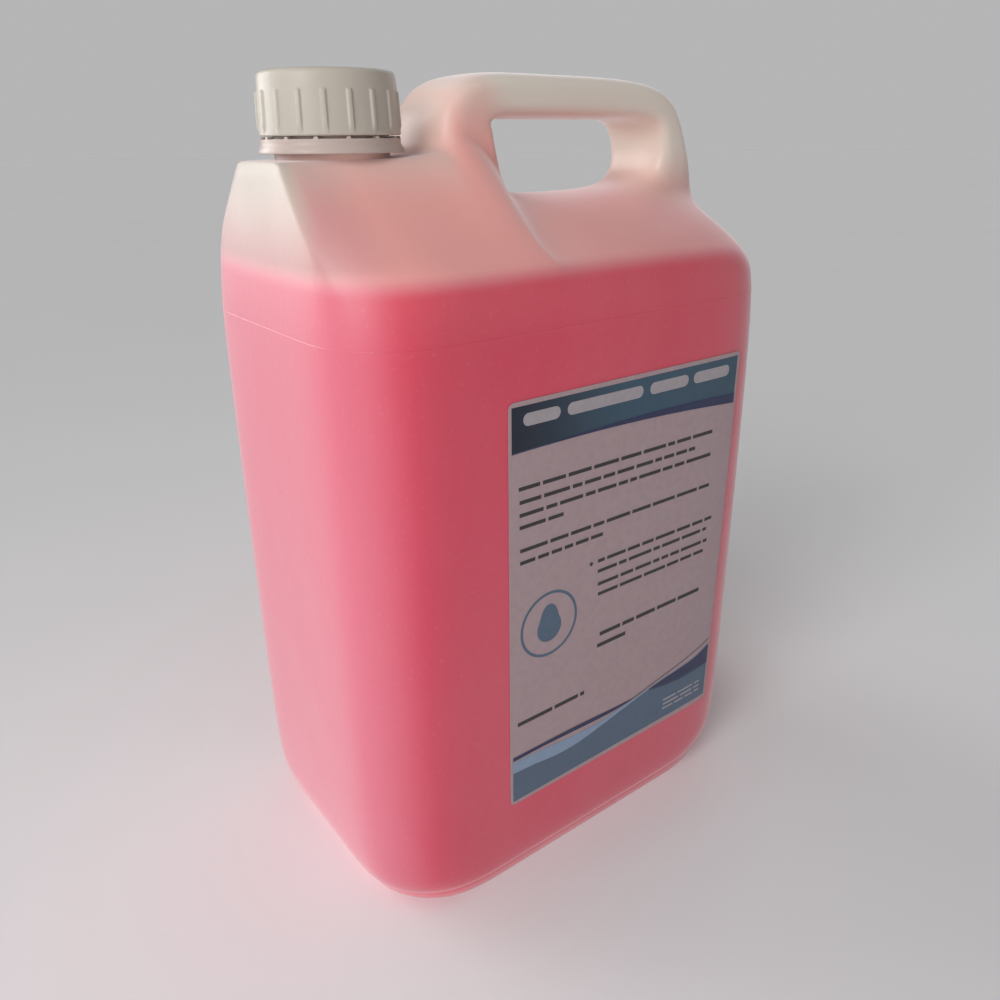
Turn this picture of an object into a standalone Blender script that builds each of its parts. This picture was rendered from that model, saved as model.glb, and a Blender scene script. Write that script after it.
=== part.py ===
"""A five litre jerrican of liquid hand soap: a blow-moulded bottle with a moulded handle, a screw cap with its
tamper ring and sealing wad, a paper label and the soap inside.

Sizes are in millimetres in the constants below and become metres where a mesh is made. The origin is the centre of
the base, X runs along the handle with the neck at the -X end, -Y is the labelled side and Z is up.
"""

import math

import bmesh
import bpy
from mathutils import Vector
from mathutils.bvhtree import BVHTree

MM = 0.001
GAP = 0.3  # clearance between pieces that touch

# Bottle: overall sizes
LENGTH = 186.0
WIDTH = 121.0
HEIGHT = 288.0
WALL = 1.5
CORNER_R = 28.0  # upright corners, seen from above
SHOULDER_DROP = 57.0  # from the handle's top down to the top of the flat walls
PLATFORM_DROP = 26.0  # down to the flat that the neck stands on
CREST_DROP = 38.4  # down to the saddle under the handle
PLATFORM_HALF = 18.0  # half the flat's width
BULGE = 1.2  # swelling of each end wall at mid height

# Bottle: base
FOOT_IN_END = 6.0  # the foot stands in from the end walls by this much
FOOT_IN_SIDE = 2.0  # and from the broad walls
FOOT_HIGH = 4.0
FOOT_LAND = 9.0  # width of the flat ring that it stands on
PUSH_UP = 2.5  # height of the hollow under the base

# Bottle: handle
GRIP_THICK = 14.2
GRIP_HALF = 17.0  # half the handle's width
GRIP_START = 93.0  # straight part of the grip, from the neck's end of the body
GRIP_END = 45.0  # and from the other end
LEG_IN = 15.5  # centre of the rear leg, from that end
LEG_HALF = 10.5  # half its thickness along X

# Neck
NECK_IN = 29.3  # centre of the neck, from its end of the body
NECK_R = 17.7
NECK_HEIGHT = 21.0
BORE_R = 15.5
BEAD_R = 19.2  # bead that holds the tamper ring down
BEAD_RISE = 3.7  # its foot above the flat
BEAD_H = 1.5

# Cap
CAP_TOP_R = 20.7
CAP_SKIRT_R = 21.5
CAP_BORE_R = 19.5
CAP_SLIT = 1.3  # between the cap and the tamper ring
CAP_THICK = 2.0
LINER_THICK = 1.0
LINER_R = 18.6
RIB_COUNT = 18
RIB_RISE = 0.6
RIB_WIDTH = 1.3
RIB_LOW = 1.8  # rib's foot above the skirt's edge
RIB_HIGH = 12.0  # rib's top above the skirt's edge
EDGE_R = 1.7  # rounded top edge

# Tamper ring
RING_RISE = 2.0  # above the flat
RING_HEIGHT = 3.6
RING_TOP_R = 21.3
RING_FOOT_R = 22.2
RING_BORE_R = BEAD_R + 0.4
RING_LIP_R = NECK_R + 0.6
BRIDGE_COUNT = 14
BRIDGE_WIDTH = 1.5

# Label
LABEL_IN = 51.0  # its edge, from the neck's end of the body
LABEL_LENGTH = 111.7
LABEL_Z = 34.0
LABEL_HEIGHT = 159.0
LABEL_THICK = 0.2
LABEL_COLUMNS = 28

# Soap
FILL_DROP = 57.0  # from the handle's top down to the soap's surface

HALF_L = LENGTH / 2
HALF_W = WIDTH / 2
SHOULDER_Z = HEIGHT - SHOULDER_DROP
PLATFORM_Z = HEIGHT - PLATFORM_DROP
CREST_Z = HEIGHT - CREST_DROP
FILL_Z = HEIGHT - FILL_DROP
NECK_X = -HALF_L + NECK_IN
LEG_X = HALF_L - LEG_IN
GRIP_START_X = -HALF_L + GRIP_START
GRIP_END_X = HALF_L - GRIP_END
NECK_TOP_Z = PLATFORM_Z + NECK_HEIGHT
BEAD_Z = PLATFORM_Z + BEAD_RISE
RING_Z = PLATFORM_Z + RING_RISE
RING_TOP_Z = RING_Z + RING_HEIGHT
CAP_BOTTOM_Z = RING_TOP_Z + CAP_SLIT
LINER_Z = NECK_TOP_Z + GAP
CAP_ROOF_Z = LINER_Z + LINER_THICK + GAP
CAP_TOP_Z = CAP_ROOF_Z + CAP_THICK


def clear_scene():
    for obj in list(bpy.data.objects):
        bpy.data.objects.remove(obj, do_unlink=True)


def principled(name, colour, roughness, metallic=0.0, alpha=1.0):
    material = bpy.data.materials.new(name)
    material.use_nodes = True
    shader = material.node_tree.nodes["Principled BSDF"]
    shader.inputs["Base Color"].default_value = (*colour, 1.0)
    shader.inputs["Roughness"].default_value = roughness
    shader.inputs["Metallic"].default_value = metallic
    shader.inputs["Alpha"].default_value = alpha
    return material


def object_from(name, bm, material=None, smooth=True, recalculate=True):
    """An object holding the mesh of bm, whose points are in millimetres."""
    if recalculate:
        bmesh.ops.recalc_face_normals(bm, faces=bm.faces[:])
    for vert in bm.verts:
        vert.co *= MM
    mesh = bpy.data.meshes.new(name)
    bm.to_mesh(mesh)
    bm.free()
    if smooth:
        mesh.shade_smooth()
        mesh.set_sharp_from_angle(angle=math.radians(35))
    obj = bpy.data.objects.new(name, mesh)
    bpy.context.scene.collection.objects.link(obj)
    if material:
        mesh.materials.append(material)
    return obj


def guide(obj):
    """Marks an object that only shapes another one."""
    obj.hide_render = True
    obj.display_type = "WIRE"
    return obj


def turned(name, profile, steps, centre, material=None):
    """A solid turned about an upright axis from a profile of (radius, height) that starts and ends on the axis."""
    bm = bmesh.new()
    rings = []
    for radius, height in profile:
        if radius == 0:
            rings.append([bm.verts.new((centre, 0.0, height))])
            continue
        ring = []
        for k in range(steps):
            turn = 2 * math.pi * k / steps
            ring.append(bm.verts.new((centre + radius * math.cos(turn), radius * math.sin(turn), height)))
        rings.append(ring)
    skin_rings(bm, rings, steps)
    return object_from(name, bm, material)


def skin_rings(bm, rings, steps, close=False):
    """Faces between neighbouring rings, where a ring of one point is the axis."""
    pairs = list(zip(rings, rings[1:]))
    if close:
        pairs.append((rings[-1], rings[0]))
    for low, high in pairs:
        for k in range(steps):
            n = (k + 1) % steps
            if len(low) == 1:
                bm.faces.new((low[0], high[k], high[n]))
            elif len(high) == 1:
                bm.faces.new((low[k], low[n], high[0]))
            else:
                bm.faces.new((low[k], low[n], high[n], high[k]))


# Bottle cage. The top is a grid of 13 columns along X and 9 rows across Y. Each column is given by 5 points of its
# front half, (x, half width, height), from the shoulder edge to the centre line, and the rear half mirrors them.


def facet(half_y):
    """Height of the sloping shoulder beside the neck, at a distance from the centre line."""
    return SHOULDER_Z + (HALF_W - half_y) * (PLATFORM_Z - SHOULDER_Z) / (HALF_W - PLATFORM_HALF)


def top_columns():
    a, b, s = HALF_L, HALF_W, SHOULDER_Z
    p, c = PLATFORM_Z, CREST_Z
    n = NECK_X
    leg_in = LEG_X - LEG_HALF
    leg_out = LEG_X + LEG_HALF
    return [
        # end of the neck shoulder, rising almost upright from the end wall
        [(-a + 4.2, b - 17, s - 1), (-a + 2.6, b - 26, s + 9), (-a + 2.8, 25.5, s + 18.5),
         (-a + 4, 15.5, p), (-a + 3.4, 0, p + 0.4)],
        [(-a + 13.5, b - 6, s - 0.5), (-a + 11, b - 14.5, s + 7), (-a + 9, 33, s + 17.5),
         (-a + 9.5, PLATFORM_HALF, p + 0.4), (-a + 9, 0, p + 0.4)],
        # under the neck
        [(-a + CORNER_R, b, s), (-a + CORNER_R, b - 6.5, facet(b - 6.5)), (n, 38, facet(38)),
         (n, 20, p + 0.4), (n, 0, p + 0.4)],
        [(n + 17, b, s), (n + 17, b - 6.5, facet(b - 6.5)), (n + 18, 38, facet(38) + 0.6),
         (n + 19, 21, p + 0.6), (n + 20, 0, p + 0.4)],
        # left flank, body and ridge of the handle's front pillar
        [(n + 27, b, s), (n + 27.5, b - 6.5, s + 5.4), (n + 29, 38, 250.5), (n + 29.5, 21, p + 3),
         (n + 26, 0, p + 0.5)],
        [(n + 33, b, s + 0.3), (n + 35, b - 6.5, s + 5.9), (n + 39, 38, 252), (n + 42, 20, p + 6)],
        [(n + 45, b, s - 0.2), (n + 38.5, b - 8, s + 7.4), (n + 43, 37, c + 0.1), (n + 52.5, 18.5, c + 4),
         (n + 58, 0, c + 3)],
        # saddle under the finger gap
        [(n + 52, b - 0.2, s - 1.4), (n + 45, b - 7, s + 1.8), (n + 48.5, 37, c - 7.4), (n + 58, 18, c - 1.2),
         (n + 65, 0, c + 0.5)],
        [(18, b - 0.5, s - 3), (20, b - 5, s + 2), (25, 37, c - 7.8), (30, 18, c - 1.8), (30, 0, c)],
        # rear leg: inner side, middle and outer side
        [(46, b - 0.5, s - 4), (48, b - 5, s + 1.5), (53, 37, c - 8.3), (leg_in - 5, 17, c - 0.3),
         (leg_in - 4, 0, c + 1)],
        [(a - CORNER_R, b - 0.7, s - 6), (a - 27, b - 5, s), (LEG_X - 6, 38, c - 10), (LEG_X, 17.5, c - 2.3)],
        [(a - 17, b - 3.4, s - 8), (a - 15, b - 8.5, s - 1.5), (a - 10.5, 37, c - 13.5), (leg_out + 1, 16, c - 7.3),
         (leg_out + 2, 0, c - 6.3)],
        # rear shoulder edge
        [(a - 8.6, b - 10, s - 10), (a - 4, b - 18, s - 7), (a - 1.3, 31, s - 3.5), (a - 0.2, 15, s - 1.5),
         (a, 0, s - 1)],
    ]


def handle_rings():
    """Rings of the handle from the pillar to the rear leg, each as its outer and inner (x, z) and half width."""
    top = HEIGHT
    under = HEIGHT - GRIP_THICK
    leg_in = LEG_X - LEG_HALF
    leg_out = LEG_X + LEG_HALF
    n = NECK_X
    w = GRIP_HALF
    return [
        (n + 28.5, PLATFORM_Z + 11, n + 50.5, 262.5, w + 1.5),
        (n + 34.5, top - 5.6, n + 48.5, under - 1, w + 0.5),
        (n + 45, top + 0.3, n + 55.5, under, w),
        (GRIP_START_X + 6, top, GRIP_START_X + 8, under, w),
        ((GRIP_START_X + GRIP_END_X) / 2 + 2, top, (GRIP_START_X + GRIP_END_X) / 2 + 2, under, w),
        (GRIP_END_X + 7, top - 0.4, GRIP_END_X, under, w),
        (leg_out - 15.5, top - 4.2, leg_in - 2.5, under, w),
        (leg_out - 6.6, top - 17, leg_in + 0.8, under - 7.5, w - 0.8),
        (leg_out + 1, top - 33, leg_in + 0.8, under - 16.5, w - 1),
    ]


def outline(inset_x, inset_y, r):
    """Points of the body's outline, set in from the ends and the sides: the front run and half of each end."""
    a, b = HALF_L - inset_x, HALF_W - inset_y
    pull = r * 3 / (2 + math.cos(math.pi / 8))  # the smoothed curve runs inside its control points

    def corner(side, turn):
        return (side * (a - r + pull * math.cos(turn)), b - r + pull * math.sin(turn))

    step = math.pi / 8
    front = [corner(-1, 2 * step), corner(-1, 3 * step), (-a + r, b)]
    for column in top_columns()[3:10]:
        x = column[0][0]
        front.append((max(-a + r + 2, min(a - r - 2, x)), b))
    front += [(a - r, b), corner(1, 3 * step), corner(1, 2 * step)]
    side = [step, 0]
    left = [corner(-1, t) for t in side[:1]] + [(-a, b - r), (-a, 16 * b / HALF_W), (-a, 0)]
    right = [corner(1, t) for t in side[:1]] + [(a, b - r), (a, 15 * b / HALF_W), (a, 0)]
    return front, left, right


def ring_points(inset_x, inset_y, r, z_left, z_right):
    """One closed ring of cage points round the body, in the order of the grid's border."""
    front, left, right = outline(inset_x, inset_y, r)

    def lift(x):
        share = (x + HALF_L) / LENGTH
        return z_left + (z_right - z_left) * share

    points = [(x, -y) for x, y in front]
    points += [(x, -y) for x, y in right[:-1]]
    points += [right[-1]]
    points += [(x, y) for x, y in reversed(right[:-1])]
    points += [(x, y) for x, y in reversed(front)]
    points += [(x, y) for x, y in left[:-1]]
    points += [left[-1]]
    points += [(x, -y) for x, y in reversed(left[:-1])]
    return [(x, y, lift(x)) for x, y in points]


def bottle_cage():
    """The bottle's outer control cage, without the neck."""
    bm = bmesh.new()
    crease = bm.edges.layers.float.new("crease_edge")
    columns = top_columns()
    rows = 9
    grid = []
    for column in columns:
        line = []
        for j in range(rows):
            k = min(j, rows - 1 - j)
            if k >= len(column):
                line.append(None)
                continue
            x, y, z = column[k]
            line.append(bm.verts.new((x, -y if j < 4 else y, z)))
        grid.append(line)
    feet = {4: "front", 9: "rear"}
    for i in range(len(columns) - 1):
        for j in range(rows - 1):
            under_foot = any(first <= i <= first + 1 for first in feet) and j in (3, 4)
            if not under_foot:
                bm.faces.new((grid[i][j], grid[i + 1][j], grid[i + 1][j + 1], grid[i][j + 1]))

    def foot(first):
        """Border of the hole that a foot of the handle grows from: outer side first, then round by the front."""
        g = grid
        a, m, c = first, first + 1, first + 2
        if first == 9:
            a, c = c, a
        return [g[a][4], g[a][3], g[m][3], g[c][3], g[c][4], g[c][5], g[m][5], g[a][5]]

    rings = [foot(4)]
    for ox, oz, ix, iz, w in handle_rings():
        mx, mz = (ox + ix) / 2, (oz + iz) / 2
        shape = [(ox, 0, oz), (ox, -w, oz), (mx, -w, mz), (ix, -w, iz), (ix, 0, iz), (ix, w, iz), (mx, w, mz),
                 (ox, w, oz)]
        rings.append([bm.verts.new(point) for point in shape])
    rings.append(foot(9))
    skin_rings(bm, rings, 8)

    border = [grid[i][0] for i in range(13)]
    border += [grid[12][j] for j in range(1, 8)]
    border += [grid[i][8] for i in range(12, -1, -1)]
    border += [grid[0][j] for j in range(7, 0, -1)]
    end, side, land = FOOT_IN_END, FOOT_IN_SIDE, FOOT_LAND
    r = CORNER_R
    levels = [
        (0.5, 0.0, r + 2, SHOULDER_Z - 8, SHOULDER_Z - 22),
        (0.0, 0.0, r, SHOULDER_Z - 26, SHOULDER_Z - 40),
        (-BULGE, 0.0, r, 95.0, 95.0),
        (-BULGE, 0.0, r, 27.0, 27.0),
        (0.0, 0.0, r + 1, 12.0, 12.0),
        (end - 2.6, side - 1.2, r + 5, FOOT_HIGH + 1.2, FOOT_HIGH + 1.2),
        (end - 0.4, side - 0.4, r + 6, FOOT_HIGH, FOOT_HIGH),
        (end, side, r + 6, 0.0, 0.0),
        (end + land, side + land, r, 0.0, 0.0),
        (end + land + 4.0, side + land + 4.0, r - 3, PUSH_UP, PUSH_UP),
    ]
    last = border
    for number, level in enumerate(levels):
        ring = [bm.verts.new(point) for point in ring_points(*level)]
        skin_rings(bm, [last, ring], len(ring))
        if number in (6, 7, 8):
            for k, vert in enumerate(ring):
                edge = bm.edges.get((vert, ring[(k + 1) % len(ring)]))
                edge[crease] = 1.0
        last = ring
    bm.faces.new(last)
    for i in range(4):
        for j in (3, 5):
            bm.edges.get((grid[i][j], grid[i + 1][j]))[crease] = 0.6
    for j in (3, 4):
        bm.edges.get((grid[0][j], grid[0][j + 1]))[crease] = 0.6
    # edge between the end and the shoulders, then the ridge from the shoulder up the handle's front pillar
    for column, values in ((0, (0.35, 0.55, 0.55)), (6, (0.45, 0.75, 0.75))):
        for j, sharpness in enumerate(values):
            for one, two in ((j, j + 1), (8 - j, 7 - j)):
                bm.edges.get((grid[column][one], grid[column][two]))[crease] = sharpness
    for k, sharpness in enumerate((0.7, 0.6, 0.3)):
        for corner in (3, 5):
            bm.edges.get((rings[k][corner], rings[k + 1][corner]))[crease] = sharpness
    bmesh.ops.recalc_face_normals(bm, faces=bm.faces[:])
    return bm


def evaluated_bmesh(obj):
    """The mesh of an object with its modifiers, in millimetres."""
    graph = bpy.context.evaluated_depsgraph_get()
    bm = bmesh.new()
    bm.from_object(obj, graph)
    for vert in bm.verts:
        vert.co /= MM
    bm.normal_update()
    return bm


def subdivide(obj, levels):
    modifier = obj.modifiers.new("smooth", "SUBSURF")
    modifier.levels = levels
    modifier.render_levels = levels
    return modifier


def boolean(obj, operation, other):
    modifier = obj.modifiers.new(other.name, "BOOLEAN")
    modifier.operation = operation
    modifier.solver = "EXACT"
    modifier.object = other


def shrunk(skin, distance):
    """A copy of a closed surface with each point moved inwards, so that its faces move by the distance."""
    bm = skin.copy()
    bm.normal_update()
    moves = [vert.normal * vert.calc_shell_factor() * distance for vert in bm.verts]
    for vert, move in zip(bm.verts, moves):
        vert.co -= move
    return bm


def make_bottle(skin, material):
    bm = skin.copy()
    inner = shrunk(skin, WALL)
    copies = {}
    for vert in inner.verts:
        copies[vert] = bm.verts.new(vert.co)
    for face in inner.faces:
        bm.faces.new([copies[vert] for vert in reversed(face.verts)])
    inner.free()
    obj = object_from("bottle", bm, material, recalculate=False)
    profile = [
        (0, PLATFORM_Z - 2.1),
        (NECK_R, PLATFORM_Z - 2.1),
        (NECK_R, BEAD_Z - 0.6),
        (BEAD_R, BEAD_Z),
        (BEAD_R, BEAD_Z + BEAD_H * 0.6),
        (NECK_R, BEAD_Z + BEAD_H),
        (NECK_R, NECK_TOP_Z - 0.5),
        (NECK_R - 0.5, NECK_TOP_Z),
        (0, NECK_TOP_Z),
    ]
    neck = guide(turned("neck_blank", profile, 48, NECK_X))
    bore = guide(turned("neck_bore", [(0, PLATFORM_Z - 8), (BORE_R, PLATFORM_Z - 8), (BORE_R, NECK_TOP_Z + 5),
                                      (0, NECK_TOP_Z + 5)], 48, NECK_X))
    boolean(obj, "UNION", neck)
    boolean(obj, "DIFFERENCE", bore)
    return obj


def outer_skin():
    """The bottle's smooth outer surface without neck, hollow or wall, in millimetres."""
    obj = object_from("skin", bottle_cage())
    subdivide(obj, 1)
    bpy.context.view_layer.update()
    bm = evaluated_bmesh(obj)
    bpy.data.objects.remove(obj, do_unlink=True)
    return bm


def make_soap(skin, material):
    """The liquid: the inside of the bottle less a clearance, up to the fill level."""
    bm = shrunk(skin, WALL + GAP)
    everything = bm.verts[:] + bm.edges[:] + bm.faces[:]
    cut = bmesh.ops.bisect_plane(bm, geom=everything, dist=1e-4, plane_co=(0, 0, FILL_Z), plane_no=(0, 0, 1),
                                 clear_outer=True)
    rim = [item for item in cut["geom_cut"] if isinstance(item, bmesh.types.BMEdge)]
    bmesh.ops.holes_fill(bm, edges=rim, sides=0)
    return object_from("soap_fill", bm, material)


def make_label(skin, material):
    """A paper sheet that follows the front wall."""
    tree = BVHTree.FromBMesh(skin)
    start = -HALF_L + LABEL_IN
    low_z, high_z = LABEL_Z, LABEL_Z + LABEL_HEIGHT
    bm = bmesh.new()
    sheets = []
    for distance in (GAP, GAP + LABEL_THICK):
        columns = []
        for k in range(LABEL_COLUMNS + 1):
            x = start + LABEL_LENGTH * k / LABEL_COLUMNS
            point, normal, _, _ = tree.ray_cast(Vector((x, -WIDTH, (low_z + high_z) / 2)), Vector((0, 1, 0)))
            y = point.y - distance / max(0.5, -normal.y)
            columns.append((bm.verts.new((x, y, low_z)), bm.verts.new((x, y, high_z))))
        sheets.append(columns)
    back, front = sheets
    for sheet in sheets:
        for one, two in zip(sheet, sheet[1:]):
            bm.faces.new((one[0], two[0], two[1], one[1]))
    for end in (0, 1):
        for k in range(LABEL_COLUMNS):
            bm.faces.new((back[k][end], back[k + 1][end], front[k + 1][end], front[k][end]))
    for k in (0, LABEL_COLUMNS):
        bm.faces.new((back[k][0], back[k][1], front[k][1], front[k][0]))
    return object_from("front_label", bm, material, smooth=False)


def spoke_angles(count, width, radius):
    """Angles of the edges of evenly spaced ribs, with a flag that tells which of them lie on a rib's top."""
    angles = []
    pitch = 2 * math.pi / count
    half = width / 2 / radius
    for k in range(count):
        middle = k * pitch
        for offset, on_top in ((-1.5 * half, 0), (-0.7 * half, 1), (0.7 * half, 1), (1.5 * half, 0)):
            angles.append((middle + offset, on_top))
    return angles


def ribbed(name, spokes, rings, centre, material, closed):
    """A solid of revolution whose rings are (radius, height, rise outwards on ribs, rise upwards on ribs)."""
    bm = bmesh.new()
    made = []
    for radius, height, out, up in rings:
        if radius == 0:
            made.append([bm.verts.new((0.0, 0.0, height))])
            continue
        ring = []
        for turn, on_top in spokes:
            reach = radius + out * on_top
            ring.append(bm.verts.new((reach * math.cos(turn), reach * math.sin(turn), height + up * on_top)))
        made.append(ring)
    skin_rings(bm, made, len(spokes), close=closed)
    obj = object_from(name, bm, material)
    obj.location = (centre * MM, 0.0, 0.0)
    return obj


def make_cap(material):
    spokes = spoke_angles(RIB_COUNT, RIB_WIDTH, CAP_SKIRT_R)
    low, top = CAP_BOTTOM_Z, CAP_TOP_Z
    lean = (CAP_SKIRT_R - CAP_TOP_R) / (top - low)

    def side(z):
        return CAP_SKIRT_R - lean * (z - low)

    rings = [(0, top, 0, 0), (side(top) - EDGE_R, top, 0, 0)]
    for k in (1, 2):
        turn = math.pi / 2 * k / 3
        rings.append((side(top) - EDGE_R + EDGE_R * math.sin(turn), top - EDGE_R + EDGE_R * math.cos(turn), 0, 0))
    rings += [
        (side(top - EDGE_R), top - EDGE_R, 0, 0),
        (side(low + RIB_HIGH + 0.5), low + RIB_HIGH + 0.5, 0, 0),
        (side(low + RIB_HIGH), low + RIB_HIGH, RIB_RISE, 0),
        (side(low + RIB_LOW + 0.5), low + RIB_LOW + 0.5, RIB_RISE, 0),
        (side(low + RIB_LOW), low + RIB_LOW, 0, 0),
        (side(low), low, 0, 0),
        (CAP_BORE_R, low, 0, 0),
        (CAP_BORE_R, CAP_ROOF_Z, 0, 0),
        (0, CAP_ROOF_Z, 0, 0),
    ]
    return ribbed("screw_cap", spokes, rings, NECK_X, material, closed=False)


def make_ring(material):
    spokes = spoke_angles(BRIDGE_COUNT, BRIDGE_WIDTH, RING_TOP_R)
    rise = CAP_BOTTOM_Z - GAP - RING_TOP_Z
    rings = [
        (RING_TOP_R, RING_TOP_Z, 0, rise),
        (RING_TOP_R, RING_Z + 2.6, 0, 0),
        (RING_FOOT_R, RING_Z + 0.6, 0, 0),
        (RING_FOOT_R, RING_Z, 0, 0),
        (RING_LIP_R + 0.3, RING_Z, 0, 0),
        (RING_LIP_R, BEAD_Z - 0.6 - GAP, 0, 0),
        (RING_BORE_R, BEAD_Z - GAP, 0, 0),
        (RING_BORE_R, RING_TOP_Z, 0, rise),
    ]
    return ribbed("tamper_ring", spokes, rings, NECK_X, material, closed=True)


def make_liner(material):
    profile = [(0, LINER_Z), (LINER_R, LINER_Z), (LINER_R, LINER_Z + LINER_THICK), (0, LINER_Z + LINER_THICK)]
    obj = turned("cap_liner", profile, 48, 0.0, material)
    obj.location = (NECK_X * MM, 0.0, 0.0)
    return obj


def main():
    clear_scene()
    natural = principled("natural_polyethylene", (0.93, 0.84, 0.83), 0.38)
    white = principled("cap_white", (0.86, 0.84, 0.82), 0.35)
    foam = principled("wad_foam", (0.9, 0.9, 0.88), 0.7)
    paper = principled("label_paper", (0.88, 0.88, 0.9), 0.55)
    soap = principled("pink_soap", (0.9, 0.32, 0.45), 0.3)
    skin = outer_skin()
    make_bottle(skin, natural)
    make_cap(white)
    make_ring(white)
    make_liner(foam)
    make_label(skin, paper)
    make_soap(skin, soap)
    skin.free()


main()
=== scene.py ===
"""Looks of the hand soap refill pack: a milky blow-moulded jerrican full of pink soap, with a ribbed screw cap, a
tamper ring and a plainly printed label. Sizes are in millimetres below and become metres where a mesh is made.
"""

import math
import random

import bmesh
import bpy
from mathutils import Matrix, Vector
from mathutils.bvhtree import BVHTree


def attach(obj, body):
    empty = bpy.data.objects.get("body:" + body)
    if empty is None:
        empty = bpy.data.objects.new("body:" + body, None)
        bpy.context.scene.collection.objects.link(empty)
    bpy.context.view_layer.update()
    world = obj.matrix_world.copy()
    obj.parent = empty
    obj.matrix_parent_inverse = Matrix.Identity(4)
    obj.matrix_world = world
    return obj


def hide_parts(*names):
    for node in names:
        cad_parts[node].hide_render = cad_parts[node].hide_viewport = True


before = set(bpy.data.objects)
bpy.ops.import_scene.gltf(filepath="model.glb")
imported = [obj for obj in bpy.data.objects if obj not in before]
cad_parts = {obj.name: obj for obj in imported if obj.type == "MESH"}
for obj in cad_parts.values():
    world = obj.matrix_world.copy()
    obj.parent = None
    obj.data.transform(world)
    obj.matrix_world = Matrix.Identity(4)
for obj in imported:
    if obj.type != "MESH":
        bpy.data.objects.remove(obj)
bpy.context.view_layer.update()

MM = 0.001

# Sizes in millimetres, the same as in the part's source
LENGTH = 186.0
WIDTH = 121.0
HEIGHT = 288.0
WALL = 1.5
CORNER_R = 28.0
SHOULDER_Z = HEIGHT - 57.0
PLATFORM_Z = HEIGHT - 26.0
CREST_Z = HEIGHT - 38.4
PLATFORM_HALF = 18.0
BULGE = 1.2
FOOT_IN_END = 6.0
FOOT_IN_SIDE = 2.0
FOOT_HIGH = 4.0
FOOT_LAND = 9.0
PUSH_UP = 2.5
HALF_L = LENGTH / 2
HALF_W = WIDTH / 2
GRIP_THICK = 14.2
GRIP_HALF = 17.0
GRIP_START_X = 0.0
GRIP_END_X = 48.0
LEG_X = 77.5
LEG_HALF = 10.5
NECK_X = -63.7
NECK_R = 17.7
NECK_TOP_Z = 283.0
BORE_R = 15.5
BEAD_R = 19.2
BEAD_Z = 265.7
BEAD_H = 1.5
CAP_TOP_R = 20.7
CAP_SKIRT_R = 21.5
CAP_BORE_R = 19.5
CAP_BOTTOM_Z = 268.9
CAP_ROOF_Z = 284.6
CAP_TOP_Z = 286.6
RIB_COUNT = 18
RIB_RISE = 0.6
RING_Z = 264.0
RING_TOP_Z = 267.6
RING_TOP_R = 21.3
RING_FOOT_R = 22.2
BRIDGE_COUNT = 14
LABEL_X = -42.0
LABEL_LENGTH = 111.7
LABEL_Z = 34.0
LABEL_HEIGHT = 159.0
FILL_Z = 231.0

# Sizes of what only the looks have
SKIN_INSET = 0.12
SEAM_Z = 213.5
THREAD_PITCH = 4.23
THREAD_TURNS = 2.0
THREAD_START = 0.4
THREAD_Z = 271.6
THREAD_DEPTH = 0.75
THREAD_ROOT = 0.3
THREAD_HALF = 0.85
RING_RAISE = 0.45
LABEL_CORNER_R = 2.4
PAPER_BACK = 0.12
PAPER_FRONT = 0.27
INK_STEP = 0.05
INK_THICK = 0.03

scene = bpy.context.scene
random.seed(5)


# Meshes


def object_from(name, bm, materials=(), sharp=40, recalculate=True):
    """An object holding the mesh of bm, whose points are in millimetres."""
    if recalculate:
        bmesh.ops.recalc_face_normals(bm, faces=bm.faces[:])
    for vert in bm.verts:
        vert.co *= MM
    mesh = bpy.data.meshes.new(name)
    bm.to_mesh(mesh)
    bm.free()
    mesh.shade_smooth()
    mesh.set_sharp_from_angle(angle=math.radians(sharp))
    obj = bpy.data.objects.new(name, mesh)
    scene.collection.objects.link(obj)
    for material in materials:
        mesh.materials.append(material)
    return obj


def skin_rings(bm, rings, steps, close=False):
    """Faces between neighbouring rings, where a ring of one point is the axis."""
    pairs = list(zip(rings, rings[1:]))
    if close:
        pairs.append((rings[-1], rings[0]))
    for low, high in pairs:
        for k in range(steps):
            n = (k + 1) % steps
            if len(low) == 1:
                bm.faces.new((low[0], high[k], high[n]))
            elif len(high) == 1:
                bm.faces.new((low[k], low[n], high[0]))
            else:
                bm.faces.new((low[k], low[n], high[n], high[k]))


# Bottle cage, as in the part's source


def facet(half_y):
    """Height of the sloping side shoulder at a distance from the middle."""
    return SHOULDER_Z + (HALF_W - half_y) * (PLATFORM_Z - SHOULDER_Z) / (HALF_W - PLATFORM_HALF)


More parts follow.
